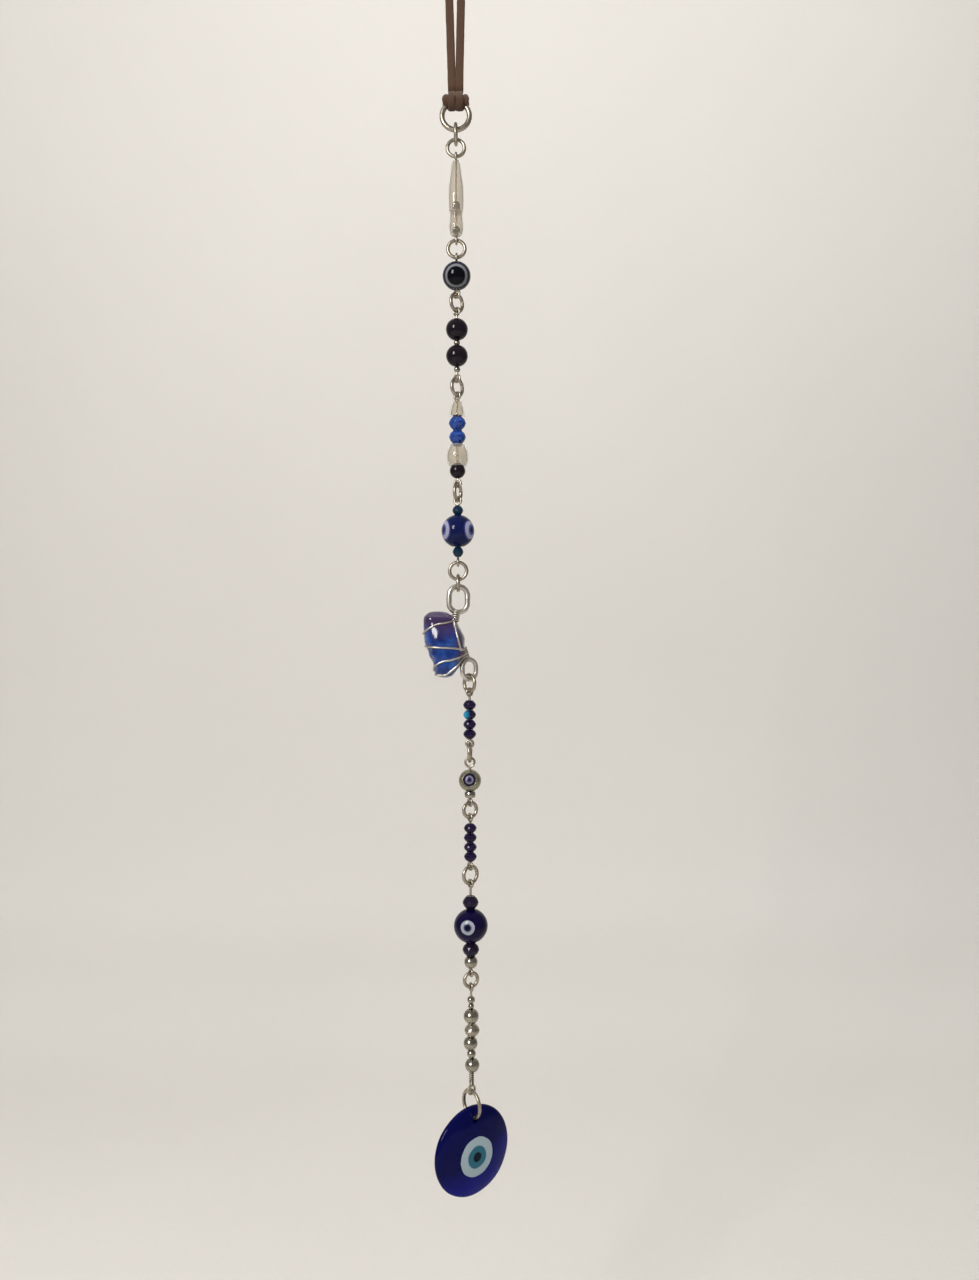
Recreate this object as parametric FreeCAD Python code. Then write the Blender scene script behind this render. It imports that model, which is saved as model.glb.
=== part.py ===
import FreeCAD, Part
import math
import os
from collections import namedtuple
from FreeCAD import Rotation, Vector

# Evil eye ornament: a string of glass and silver beads on wire pins, linked by
# jump rings, with a flat glass evil eye at the foot and a suede loop to hang it.
# Millimetres, +Z up, front towards -Y. The origin is the inside of the top of
# the suede loop, where a hook carries the ornament.

# ---- driving dimensions -------------------------------------------------
CORD_D = 2.2            # suede lace, across its width
CORD_CROWN_R = 2.1      # middle of the lace, round a 2 mm hook
HITCH_TOP_Z = -41.2     # where the lace leaves its hitch
STRAND_X = 0.95         # half the distance between the two strands there

TOP_RING_R = 3.7        # rings are given by the radius of the wire's middle
TOP_RING_WIRE_R = 0.7
TOP_RING_Z = -47.5
HITCH_R = 2.1
HITCH_LENGTH = 5.6
HITCH_SWING = 20        # degrees the top ring tilts in the hitch, each way

RING_R = 2.3            # the ordinary jump ring
RING_WIRE_R = 0.48
RING_SEAM = 3           # degrees left open where a jump ring closes
LOOP_R = 0.95           # eye loop at the end of a pin
PIN_R = 0.32
LINK_GAP = 0.1          # between two wires that hang in each other
BORE_GAP = 0.05         # bead on pin, radial
BEAD_GAP = 0.06         # between neighbours on a pin

LOWER_X = 2.9           # the lower half hangs this far to the right
DISC_D = 24.0
DISC_THICK = 5.0
DISC_EDGE = 2.0         # thickness of the disc's rim
DISC_HOLE_R = 0.95
DISC_HOLE_INSET = 3.1   # from the rim to the middle of the hole
DISC_TURN = 37          # degrees the disc's face is turned to the right
DISC_RING_R = 3.6
DISC_RING_WIRE_R = 0.5

BEZEL_EYE_R = 1.7       # glass eye in its silver bezel
BEZEL_SEAT = 1.6        # from the middle of the bead to the floor of the seat
BEZEL_DOME_R = 3.05

NUGGET_TOP_LOOP = (2.55, 2.0, 0.6, 12)      # end radius, straight side, wire radius, turn
NUGGET_LOW_LOOP = (2.3, 0.8, 0.55, 38)
NUGGET_HUB_R = 0.85     # coils that tie the two loops to the cage
WRAP_R = 0.28
WRAP_STAND_OFF = 0.45
# sections from top to bottom: height, middle, half width, half depth
NUGGET_SECTIONS = [
    (-181.9, -5.6, 2.9, 2.2),
    (-183.6, -5.1, 4.1, 3.6),
    (-189.0, -3.8, 5.0, 4.5),
    (-192.6, -3.1, 4.3, 4.2),
    (-195.2, -3.3, 3.5, 3.7),
    (-198.4, -3.7, 2.5, 2.7),
    (-199.2, -3.8, 1.6, 1.8),
]
NUGGET_SIDES = [(1, 0.42), (0.72, 0.72), (0.42, 1)]     # a quarter of a section's outline
# turns of thin wire: height at the right, in front, at the left and at the back
WRAP_TURNS = [
    (-183.4, -184.6, -187.3, -186.0),
    (-191.8, -191.0, -190.6, -191.6),
    (-192.6, -194.5, -197.2, -195.0),
]

UP = Vector(0, 0, 1)
BEAD_BORE_R = PIN_R + BORE_GAP

nodes = {}
pivots = {}

Hook = namedtuple("Hook", "x z wire_r turn")    # the wire that carries what is next
Bead = namedtuple("Bead", "name maker sizes length gap shift")


def bead(name, maker, sizes, length, gap=BEAD_GAP, shift=0.0):
    """One bead on a pin: gap is the space above it, shift its offset to the right."""
    return Bead(name, maker, sizes, length, gap, shift)


# ---- wire ---------------------------------------------------------------
def turned(shape, degrees, x):
    """Turn a shape about the vertical line through x."""
    shape.rotate(Vector(x, 0, 0), UP, degrees)
    return shape


def split_ring(centre, radius, wire_r, turn, seam_at):
    """A jump ring facing the front, with its closed ends seam_at degrees round."""
    ring = Part.makeTorus(radius, wire_r, Vector(0, 0, 0), UP, 0, 360, 360 - RING_SEAM)
    ring.rotate(Vector(0, 0, 0), UP, seam_at)
    ring.rotate(Vector(0, 0, 0), Vector(1, 0, 0), 90)
    ring.translate(centre)
    return turned(ring, turn, centre.x)


def swept_wire(edges, start, direction, wire_r):
    """A round wire along a path of tangent edges."""
    path = Part.Wire(edges)
    section = Part.Wire([Part.makeCircle(wire_r, start, direction)])
    pipe = Part.BRepOffsetAPI.MakePipeShell(path)
    pipe.add(section)
    pipe.build()
    pipe.makeSolid()
    return pipe.shape()


def oval_loop(x, top, sizes):
    """A closed wire loop with two round ends and straight sides; top is its wire's middle."""
    radius, side, wire_r, turn = sizes
    upper = Vector(x, 0, top - radius)
    lower = upper - UP * side
    out = Vector(radius, 0, 0)
    edges = [
        Part.Arc(upper + out, upper + UP * radius, upper - out).toShape(),
        Part.makeLine(upper - out, lower - out),
        Part.Arc(lower - out, lower - UP * radius, lower + out).toShape(),
        Part.makeLine(lower + out, upper + out),
    ]
    loop = swept_wire(edges, upper + out, UP, wire_r)
    return turned(loop, turn, x)


def rounded_path(points, spare=0.45):
    """Straight runs joined by tangent arcs; returns the edges and the radii."""
    edges = []
    radii = []
    here = points[0]
    for before, corner, after in zip(points, points[1:], points[2:]):
        into = (corner - before).normalize()
        out = (after - corner).normalize()
        half_turn = into.getAngle(out) / 2
        run = min((corner - before).Length, (after - corner).Length)
        cut = spare * run
        radii.append(cut / math.tan(half_turn))
        start = corner - into * cut
        end = corner + out * cut
        inward = (out - into).normalize()
        depth = radii[-1] * (1 / math.cos(half_turn) - 1)
        edges.append(Part.LineSegment(here, start).toShape())
        edges.append(Part.Arc(start, corner + inward * depth, end).toShape())
        here = end
    edges.append(Part.LineSegment(here, points[-1]).toShape())
    return edges, radii


def tube(points, radius):
    """A soft or bent tube along a rounded path, checked against its length."""
    edges, radii = rounded_path(points)
    solid = swept_wire(edges, points[0], points[1] - points[0], radius)
    length = sum(edge.Length for edge in edges)
    expected = math.pi * radius ** 2 * length
    return solid, radii, length, solid.Volume / expected


# ---- beads: each maker takes its sizes and returns a solid with its top at z = 0
def lathe(outline, bore_r=BEAD_BORE_R):
    """A turned solid: outline is (radius, depth) from top to bottom, joined smoothly."""
    points = [Vector(radius, 0, -depth) for radius, depth in outline]
    curve = Part.BSplineCurve()
    curve.interpolate(points)
    top = Vector(bore_r, 0, points[0].z)
    bottom = Vector(bore_r, 0, points[-1].z)
    edges = [
        Part.makeLine(top, points[0]),
        curve.toShape(),
        Part.makeLine(points[-1], bottom),
        Part.makeLine(bottom, top),
    ]
    return Part.Face(Part.Wire(edges)).revolve(Vector(0, 0, 0), UP, 360)


def round_bead(diameter, length):
    """A drilled ball, its poles ground flat down to its length."""
    ball = Part.makeSphere(diameter / 2)
    slab = Part.makeBox(diameter, diameter, length, Vector(-diameter / 2, -diameter / 2, -length / 2))
    ball = ball.common(slab)
    ball = ball.cut(Part.makeCylinder(BEAD_BORE_R, length, Vector(0, 0, -length / 2)))
    ball.translate(Vector(0, 0, -length / 2))
    return ball


def rondelle(diameter, length):
    """A small cut-glass bead, widest at its middle."""
    wide = diameter / 2
    return lathe([(wide * 0.55, 0), (wide * 0.9, length * 0.22), (wide, length * 0.5),
                  (wide * 0.9, length * 0.78), (wide * 0.55, length)])


def collar(diameter, length):
    """A short silver spacer with a soft edge."""
    wide = diameter / 2
    return lathe([(wide * 0.8, 0), (wide, length * 0.5), (wide * 0.8, length)])


def seat(shape, ball_r, depth, mouth):
    """Hollow a bead from below so that a ball sits in it at that depth."""
    clear = ball_r + BEAD_GAP
    shape = shape.cut(Part.makeSphere(clear, Vector(0, 0, -depth)))
    if depth < mouth:
        throat = Part.makeCylinder(clear, mouth - depth + 1, Vector(0, 0, -mouth - 1))
        shape = shape.cut(throat)
    return shape


def tall_drop(length, ball_r, ball_depth):
    """The long clear drop: slim at the top, with a silver ball in its mouth."""
    shape = lathe([(1.0, 0), (1.35, length * 0.3), (1.85, length * 0.62),
                   (2.0, length * 0.82), (1.78, length)])
    return seat(shape, ball_r, ball_depth, length)


def short_drop(length, ball_r, ball_depth):
    """The clear sleeve below it, with the second ball in its mouth."""
    shape = lathe([(1.76, 0), (1.72, length * 0.3), (1.82, length * 0.65), (1.62, length)])
    return seat(shape, ball_r, ball_depth, length)


def cone_bead(length):
    """Small clear cone above the blue crystals."""
    return lathe([(1.05, 0), (1.6, length * 0.45), (2.0, length)])


def barrel_bead(length, ball_r, ball_depth):
    """Clear barrel with a dark bead nested in its lower end."""
    shape = lathe([(1.95, 0), (2.7, length * 0.35), (2.8, length * 0.6), (2.35, length)])
    return seat(shape, ball_r, ball_depth, length)


# ---- the chain ----------------------------------------------------------
def add_solid(name, shape):
    """Add a piece to a node; identical beads on one pin share a node."""
    if name in nodes:
        shape = Part.makeCompound(nodes[name].Solids + [shape])
    nodes[name] = shape


def add_pivot(name, hook):
    """What hangs in a hook swings about the hook's own wire."""
    angle = math.radians(hook.turn)
    pivots[name] = (Vector(hook.x, 0, hook.z), Vector(math.cos(angle), math.sin(angle), 0))


def hang_ring(name, hook, radius=RING_R, wire_r=RING_WIRE_R, seam_at=20):
    """Hook a jump ring into the wire above it, square to that wire."""
    top = hook.z + hook.wire_r + wire_r + LINK_GAP
    centre = Vector(hook.x, 0, top - radius)
    turn = hook.turn + 90
    nodes[name] = split_ring(centre, radius, wire_r, turn, seam_at)
    add_pivot(name, hook)
    return Hook(hook.x, centre.z - radius, wire_r, turn)


def eye_loop(x, centre_z, radius, turn):
    """The round eye bent at the end of a pin."""
    loop = Part.makeTorus(radius, PIN_R)
    loop.rotate(Vector(0, 0, 0), Vector(1, 0, 0), 90)
    loop.translate(Vector(x, 0, centre_z))
    return turned(loop, turn, x)


def stem(x, top, bottom):
    return Part.makeCylinder(PIN_R, top - bottom, Vector(x, 0, bottom))


def hang_pin(name, hook, beads, foot_turn=90, neck=0.0, foot_neck=0.0,
             head_r=LOOP_R, foot_r=LOOP_R):
    """Hook a pin into the wire above it and thread its beads from the top down."""
    head_top = hook.z + hook.wire_r + PIN_R + LINK_GAP
    head_z = head_top - head_r
    z = head_z - head_r - PIN_R - neck
    for item in beads:
        z -= item.gap
        shape = item.maker(*item.sizes)
        shape.translate(Vector(hook.x + item.shift, 0, z))
        if item.shift:
            drill = Vector(hook.x, 0, z - item.length)
            shape = shape.cut(Part.makeCylinder(BEAD_BORE_R, item.length, drill))
        add_solid(item.name, shape)
        z -= item.length
    foot_z = z - BEAD_GAP - foot_neck - PIN_R - foot_r
    wire = stem(hook.x, head_z - head_r, foot_z + foot_r)
    wire = wire.fuse(eye_loop(hook.x, head_z, head_r, hook.turn + 90))
    wire = wire.fuse(eye_loop(hook.x, foot_z, foot_r, foot_turn))
    nodes[name] = wire.removeSplitter()
    add_pivot(name, hook)
    return Hook(hook.x, foot_z - foot_r, PIN_R, foot_turn)


def stack(name, count, diameter, length):
    """Identical rondelles, one above the other."""
    return [bead(name, rondelle, (diameter, length), length)] * count


# ---- suede loop and its hitch ------------------------------------------
def cord_route():
    """The lace: up from the hitch, round the hook, and down into the hitch again."""
    crown = CORD_D / 2
    left = [(-STRAND_X, HITCH_TOP_Z), (-1.6, -14.0), (-CORD_CROWN_R, -3.0), (-CORD_CROWN_R, crown)]
    right = [(-x, z) for x, z in reversed(left)]
    return [Vector(x, 0, z) for x, z in left + right]


def make_cord():
    solid, radii, length, fill = tube(cord_route(), CORD_D / 2)
    nodes["suede_loop"] = solid
    print("suede_loop length", round(length, 1), "fill", round(fill, 4))
    print("suede_loop radii", [round(radius, 1) for radius in radii])


def make_hitch():
    """The lark's head that grips the top ring, as one plain lump."""
    ring_top = TOP_RING_Z + TOP_RING_R
    turns = Part.makeCylinder(HITCH_R, HITCH_LENGTH, Vector(-HITCH_LENGTH / 2, 0, ring_top), Vector(1, 0, 0))
    width = 2 * (STRAND_X + CORD_D / 2)
    neck = Part.makeBox(width, CORD_D, HITCH_TOP_Z - BEAD_GAP - ring_top,
                        Vector(-width / 2, -CORD_D / 2, ring_top))
    lump = turns.fuse(neck)
    for degrees in range(-HITCH_SWING, HITCH_SWING + 1, HITCH_SWING // 2):
        ring = Part.makeTorus(TOP_RING_R, TOP_RING_WIRE_R + LINK_GAP)
        ring.rotate(Vector(0, 0, 0), Vector(1, 0, 0), 90 + degrees)
        middle = Vector(0, 0, -TOP_RING_R)
        offset = Rotation(Vector(1, 0, 0), degrees).multVec(middle)
        ring.translate(Vector(0, 0, ring_top) + offset)
        lump = lump.cut(ring)
    nodes["suede_hitch"] = max(lump.Solids, key=lambda solid: solid.Volume)


def make_top_ring():
    centre = Vector(0, 0, TOP_RING_Z)
    nodes["top_ring"] = split_ring(centre, TOP_RING_R, TOP_RING_WIRE_R, 0, 75)
    pivots["top_ring"] = (Vector(0, 0, TOP_RING_Z + TOP_RING_R), Vector(1, 0, 0))
    return Hook(0, TOP_RING_Z - TOP_RING_R, TOP_RING_WIRE_R, 0)


# ---- glass nugget in its wire ------------------------------------------
def nugget_ring(z, middle, half_width, half_depth):
    """Twelve points round the nugget at one height, its corners cut."""
    outline = []
    for x_sign, y_sign in ((1, 1), (-1, 1), (-1, -1), (1, -1)):
        quarter = NUGGET_SIDES if x_sign == y_sign else NUGGET_SIDES[::-1]
        outline += [(x_sign * u, y_sign * v) for u, v in quarter]
    return [Vector(middle + half_width * u, half_depth * v, z) for u, v in outline]


def make_nugget():
    """A tumbled piece of blue glass, ruled between its sections."""
    wires = []
    for section in NUGGET_SECTIONS:
        points = nugget_ring(*section)
        wires.append(Part.makePolygon(points + points[:1]))
    nodes["nugget_glass"] = Part.makeLoft(wires, True, True)


def nugget_width_at(z):
    """Middle, half width and half depth of the nugget at a height."""
    for upper, lower in zip(NUGGET_SECTIONS, NUGGET_SECTIONS[1:]):
        if upper[0] >= z >= lower[0]:
            share = (upper[0] - z) / (upper[0] - lower[0])
            return [a + (b - a) * share for a, b in zip(upper[1:], lower[1:])]
    raise ValueError("height outside the nugget")


def wrap_corners(heights):
    """Corners of one turn of wire: one at each side of the nugget and one between two sides."""
    corners = []
    for index in range(8):
        angle = -math.pi / 4 * index
        here = heights[index // 2]
        after = heights[(index // 2 + 1) % 4]
        at_side = index % 2 == 0
        z = here if at_side else (here + after) / 2
        reach = 1.0 if at_side else 1.12
        middle, half_width, half_depth = nugget_width_at(z)
        corners.append(Vector(
            middle + reach * (half_width + WRAP_STAND_OFF) * math.cos(angle),
            reach * (half_depth + WRAP_STAND_OFF) * math.sin(angle),
            z,
        ))
    return corners


def bars_along(corners):
    """Straight bars of thin wire from corner to corner, with round knuckles."""
    solid = Part.makeSphere(WRAP_R, corners[0])
    for start, end in zip(corners, corners[1:]):
        along = end - start
        solid = solid.fuse(Part.makeCylinder(WRAP_R, along.Length, start, along))
        solid = solid.fuse(Part.makeSphere(WRAP_R, end))
    return solid


def make_wraps(top_end, low_end):
    """The cage: three slanting turns, a front rib and two hubs, cut clear of the glass."""
    hub_top = Vector(-0.75, -1.2, -183.7)
    hub_low = Vector(1.35, -1.2, -191.8)
    cage = bars_along([hub_top, hub_low])
    for heights in WRAP_TURNS:
        corners = wrap_corners(heights)
        cage = cage.fuse(bars_along(corners + corners[:1]))
    for start, end in ((top_end, Vector(-0.75, 0, -184.0)), (low_end, Vector(1.5, 0, -191.4))):
        along = end - start
        cage = cage.fuse(Part.makeCylinder(NUGGET_HUB_R, along.Length, start, along))
    cage = cage.cut(nodes["nugget_glass"])
    cage = cage.cut(nodes["nugget_top_loop"]).cut(nodes["nugget_low_loop"])
    nodes["nugget_wrap_wire"] = Part.makeCompound(cage.Solids)


def hang_nugget(hook):
    """The nugget between its two big wire loops."""
    radius, side, wire_r, _ = NUGGET_TOP_LOOP
    top = hook.z + hook.wire_r + wire_r + LINK_GAP
    nodes["nugget_top_loop"] = oval_loop(hook.x, top, NUGGET_TOP_LOOP)
    add_pivot("nugget_glass", hook)
    bottom = top - 2 * radius - side
    low_top = -194.1
    nodes["nugget_low_loop"] = oval_loop(LOWER_X, low_top, NUGGET_LOW_LOOP)
    make_nugget()
    make_wraps(Vector(hook.x - 0.3, 0, bottom), Vector(LOWER_X - 0.9, 0, low_top))
    radius, side, wire_r, turn = NUGGET_LOW_LOOP
    return Hook(LOWER_X, low_top - 2 * radius - side, wire_r, turn)


# ---- silver bezel eye and the glass disc --------------------------------
def bezel_bead(diameter, length):
    """A silver bead with a round seat in front for a glass eye."""
    shape = round_bead(diameter, length)
    seat_cut = Part.makeCylinder(BEZEL_EYE_R + 0.02, diameter, Vector(0, -BEZEL_SEAT, -length / 2),
                                 Vector(0, -1, 0))
    return shape.cut(seat_cut)


def make_bezel_eye(hook_x):
    """The domed glass eye set in the bezel."""
    box = nodes["bezel_bead"].BoundBox
    middle = Vector(hook_x, 0, (box.ZMin + box.ZMax) / 2)
    dome = Part.makeSphere(BEZEL_DOME_R, middle)
    plug = Part.makeCylinder(BEZEL_EYE_R, 3, middle + Vector(0, -BEZEL_SEAT - 0.02, 0), Vector(0, -1, 0))
    nodes["bezel_eye"] = plug.common(dome)


def make_disc(hook):
    """The flat glass eye: domed faces, a rounded rim, and a hole near the top."""
    half = DISC_D / 2
    rim = DISC_EDGE / 2
    shoulder = half - rim * 0.8
    swell = half * 0.55
    profile = [Vector(0, -DISC_THICK / 2, 0), Vector(swell, -DISC_THICK * 0.425, 0),
               Vector(shoulder, -rim, 0), Vector(half, 0, 0), Vector(shoulder, rim, 0),
               Vector(swell, DISC_THICK * 0.425, 0), Vector(0, DISC_THICK / 2, 0)]
    outline = Part.Wire([
        Part.Arc(*profile[:3]).toShape(),
        Part.Arc(*profile[2:5]).toShape(),
        Part.Arc(*profile[4:]).toShape(),
        Part.makeLine(profile[-1], profile[0]),
    ])
    disc = Part.Face(outline).revolve(Vector(0, 0, 0), Vector(0, 1, 0), 360)
    hole_z = half - DISC_HOLE_INSET
    hole = Part.makeCylinder(DISC_HOLE_R, 2 * DISC_THICK, Vector(0, -DISC_THICK, hole_z), Vector(0, 1, 0))
    disc = disc.cut(hole)
    disc.translate(Vector(hook.x, 0, hook.z - hole_z))
    nodes["evil_eye_disc"] = turned(disc, hook.turn - 90, hook.x)
    add_pivot("evil_eye_disc", hook)


# ---- the whole string ---------------------------------------------------
def hang_upper_half():
    hook = make_top_ring()
    hook = hang_ring("link_ring_1", hook, radius=2.5)
    hook = hang_ring("link_ring_2", hook)
    hook = hang_pin("drop_pin", hook, [
        bead("tall_drop", tall_drop, (13.6, 1.25, 11.7), 13.6),
        bead("short_drop", short_drop, (6.2, 1.2, 4.8), 6.2),
    ])
    hook = hang_ring("link_ring_3", hook)
    hook = hang_pin("eye_bead_pin", hook, [
        bead("eye_bead", round_bead, (7.6, 7.2), 7.2),
    ], foot_turn=-40)
    hook = hang_ring("link_ring_4", hook)
    hook = hang_pin("black_bead_pin", hook, [
        bead("black_bead_1", round_bead, (5.95, 5.8), 5.8),
        bead("black_bead_collars", collar, (1.7, 1.25), 1.25),
        bead("black_bead_2", round_bead, (5.85, 5.7), 5.7),
        bead("black_bead_collars", collar, (1.7, 1.6), 1.6),
    ], neck=0.6, foot_neck=0.3, foot_turn=-36)
    hook = hang_ring("link_ring_5", hook)
    hook = hang_pin("crystal_pin", hook, [
        bead("clear_cone", cone_bead, (4.1,), 4.1),
        bead("blue_crystal_1", rondelle, (4.4, 3.7), 3.7),
        bead("blue_crystal_2", rondelle, (4.3, 3.7), 3.7),
        bead("clear_barrel", barrel_bead, (6.0, 2.1, 7.2), 6.0),
        bead("nested_black_bead", round_bead, (4.2, 4.1), 4.1, gap=-0.85),
    ], foot_turn=-20)
    hook = hang_ring("link_ring_6", hook)
    hook = hang_pin("lampwork_pin", hook, [
        bead("teal_beads", rondelle, (2.8, 2.6), 2.6),
        bead("lampwork_bead", round_bead, (8.9, 8.4), 8.4),
        bead("teal_beads", rondelle, (2.8, 2.7), 2.7),
    ], foot_neck=0.1)
    hook = hang_ring("link_ring_7", hook)
    hook = hang_ring("link_ring_8", hook, radius=2.0)
    return hang_nugget(hook)


def hang_lower_half(hook):
    hook = hang_ring("link_ring_9", hook)
    hook = hang_pin("rondelle_pin_1", hook, stack("rondelles_1", 4, 3.3, 2.55), neck=0.9, foot_turn=-4)
    hook = hang_ring("link_ring_10", hook)
    hook = hang_pin("bezel_pin", hook, [
        bead("bezel_bead", bezel_bead, (6.0, 5.8), 5.8),
        bead("bezel_collar", collar, (3.0, 1.6), 1.6),
    ], head_r=1.25, neck=0.4, foot_turn=-57)
    make_bezel_eye(hook.x)
    hook = hang_ring("link_ring_11", hook, radius=2.0)
    hook = hang_pin("rondelle_pin_2", hook, stack("rondelles_2", 4, 3.3, 2.5), neck=0.3, foot_turn=-50)
    hook = hang_ring("link_ring_12", hook)
    hook = hang_pin("lower_eye_pin", hook, [
        bead("dark_crystals", rondelle, (4.1, 3.5), 3.5),
        bead("lower_eye_bead", round_bead, (9.1, 9.0), 9.0),
        bead("dark_crystals", rondelle, (4.3, 3.6), 3.6),
        bead("silver_ball_3", round_bead, (3.6, 3.1), 3.1),
    ], neck=2.0, foot_turn=-65)
    hook = hang_ring("link_ring_13", hook, radius=1.9)
    hook = hang_pin("silver_bead_pin", hook, [
        bead("silver_seed", round_bead, (2.1, 2.0), 2.0),
        bead("silver_collars", collar, (1.6, 1.3), 1.3),
        bead("silver_balls", round_bead, (4.1, 4.0), 4.0),
        bead("silver_rondelle", rondelle, (3.9, 3.2), 3.2, gap=0.2, shift=0.2),
        bead("silver_balls", round_bead, (3.8, 3.7), 3.7, shift=-0.2),
        bead("silver_collars", collar, (2.4, 1.8), 1.8),
        bead("silver_balls", round_bead, (3.9, 3.8), 3.8, gap=0.3, shift=0.2),
    ], foot_neck=3.3, foot_r=1.1, neck=1.1, foot_turn=DISC_TURN)
    hook = hang_ring("disc_ring", hook, radius=DISC_RING_R, wire_r=DISC_RING_WIRE_R, seam_at=200)
    make_disc(hook)


def add_drop_balls():
    """The silver balls that sit in the mouths of the clear drops."""
    for name, host, diameter, depth in (("silver_ball_1", "tall_drop", 2.5, 11.7),
                                        ("silver_ball_2", "short_drop", 2.4, 4.8)):
        ball = round_bead(diameter, diameter * 0.96)
        top = nodes[host].BoundBox.ZMax
        ball.translate(Vector(0, 0, top - depth + diameter * 0.48))
        nodes[name] = ball


def build():
    make_cord()
    make_hitch()
    hang_lower_half(hang_upper_half())
    add_drop_balls()


build()
os.makedirs("parts", exist_ok=True)
for name, shape in nodes.items():
    shape.exportStep(f"parts/{name}.step")
print(len(nodes), "nodes")
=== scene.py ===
import math

import bmesh
import bpy
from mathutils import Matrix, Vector, noise
from mathutils.bvhtree import BVHTree


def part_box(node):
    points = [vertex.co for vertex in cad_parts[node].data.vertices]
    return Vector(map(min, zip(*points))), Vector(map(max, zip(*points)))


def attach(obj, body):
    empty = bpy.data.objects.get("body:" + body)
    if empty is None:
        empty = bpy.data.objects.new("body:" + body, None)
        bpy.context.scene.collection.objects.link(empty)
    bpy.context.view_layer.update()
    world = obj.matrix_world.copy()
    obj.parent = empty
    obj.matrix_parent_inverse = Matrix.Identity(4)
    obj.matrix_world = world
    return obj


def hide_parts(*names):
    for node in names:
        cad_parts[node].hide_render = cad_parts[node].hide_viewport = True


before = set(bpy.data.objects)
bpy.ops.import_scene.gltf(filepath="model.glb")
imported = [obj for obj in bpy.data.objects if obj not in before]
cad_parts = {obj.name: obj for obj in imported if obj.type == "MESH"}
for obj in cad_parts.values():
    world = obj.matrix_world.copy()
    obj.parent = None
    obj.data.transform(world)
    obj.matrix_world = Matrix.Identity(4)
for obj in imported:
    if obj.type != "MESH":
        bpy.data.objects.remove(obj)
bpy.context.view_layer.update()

noise.seed_set(7)        # so that roughened shapes are the same at every run

MM = 0.001
SEGMENTS = 72            # round a smooth bead
FACETS = 16              # round a cut one
CUT_SWELL = 1.05         # cut beads are this much wider than the round CAD ones
CORD_WIDTH = 2.2 * MM
CORD_THICK = 1.45 * MM
PIN_BORE = 0.37 * MM     # radius of the hole through a bead
DROP_BORE = 0.33 * MM    # the same in clear glass, close to the pin

CAMERA_PLACE = (0.00837, -0.270, -0.189)
CAMERA_ROLL = 0.3        # degrees
LENS = 18.75
SENSOR = 24.0


# ---- camera -------------------------------------------------------------
def make_camera():
    data = bpy.data.cameras.new("camera")
    data.sensor_fit = "VERTICAL"
    data.sensor_height = SENSOR
    data.lens = LENS
    data.clip_start = 0.01
    camera = bpy.data.objects.new("camera", data)
    bpy.context.scene.collection.objects.link(camera)
    camera.location = CAMERA_PLACE
    camera.rotation_euler = (math.radians(90), math.radians(CAMERA_ROLL), 0)
    bpy.context.scene.camera = camera
    bpy.context.scene.view_settings.view_transform = "Standard"


# ---- mesh helpers -------------------------------------------------------
def new_mesh(name, points, faces, smooth=True):
    mesh = bpy.data.meshes.new(name)
    mesh.from_pydata([tuple(point) for point in points], [], faces)
    mesh.validate()
    mesh.polygons.foreach_set("use_smooth", [smooth] * len(mesh.polygons))
    piece = bpy.data.objects.new(name, mesh)
    bpy.context.scene.collection.objects.link(piece)
    return piece


def loop_faces(rows, around, closed):
    """Quads between rows of points, each row a ring; closed joins the last row to the first."""
    faces = []
    for row in range(rows if closed else rows - 1):
        after = (row + 1) % rows
        for k in range(around):
            beside = (k + 1) % around
            faces.append((row * around + k, row * around + beside,
                          after * around + beside, after * around + k))
    return faces


def end_faces(rows, around):
    """Flat caps on the first and the last row of points."""
    return [tuple(range(around))[::-1], tuple(range((rows - 1) * around, rows * around))]


def circle(radius, around):
    """Evenly spaced (cosine, sine) points of a circle."""
    return [(radius * math.cos(2 * math.pi * k / around), radius * math.sin(2 * math.pi * k / around))
            for k in range(around)]


def turned_points(outline, centre, around=SEGMENTS):
    """Rings of points about a vertical axis: outline is (radius, height) pairs."""
    points = []
    for radius, height in outline:
        for across, back in circle(radius, around):
            points.append((centre[0] + across, centre[1] + back, height))
    return points


def squared(share, power):
    """Push a sine or cosine outwards, which turns a circle into a soft-cornered square."""
    return math.copysign(abs(share) ** power, share)


def eased(share):
    """A share from 0 to 1 that starts and ends slowly."""
    return share * share * (3 - 2 * share)


def sweep(points, section, closed=False, spin=None):
    """Vertices and faces of a section carried along points; open ends are capped."""
    count = len(points)
    rows = []
    side = None
    for index, here in enumerate(points):
        before = points[index - 1] if index or closed else here
        after = points[(index + 1) % count] if index < count - 1 or closed else here
        along = (after - before).normalized()
        if side is None:
            side = along.cross(Vector((0, 1, 0)))
            if side.length < 0.1:
                side = along.cross(Vector((1, 0, 0)))
        side = (side - along * side.dot(along)).normalized()
        depth = along.cross(side)
        angle = spin(index / (count - 1)) if spin else 0.0
        for u, v in section:
            a = u * math.cos(angle) - v * math.sin(angle)
            b = u * math.sin(angle) + v * math.cos(angle)
            rows.append(here + side * a + depth * b)
    around = len(section)
    faces = loop_faces(count, around, closed)
    if not closed:
        faces += end_faces(count, around)
    return rows, faces


def lace_section(wide=1.0, thick=1.0):
    """Flat suede lace with rounded edges, as shares of its width and thickness."""
    return [(squared(u, 0.5) * CORD_WIDTH / 2 * wide, squared(v, 0.5) * CORD_THICK / 2 * thick)
            for u, v in circle(1.0, 20)]


def joined(name, parts, smooth=True):
    """One mesh from several (vertices, faces) pairs."""
    points = []
    faces = []
    for some_points, some_faces in parts:
        start = len(points)
        points += list(some_points)
        faces += [tuple(index + start for index in face) for face in some_faces]
    return new_mesh(name, points, faces, smooth)


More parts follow.
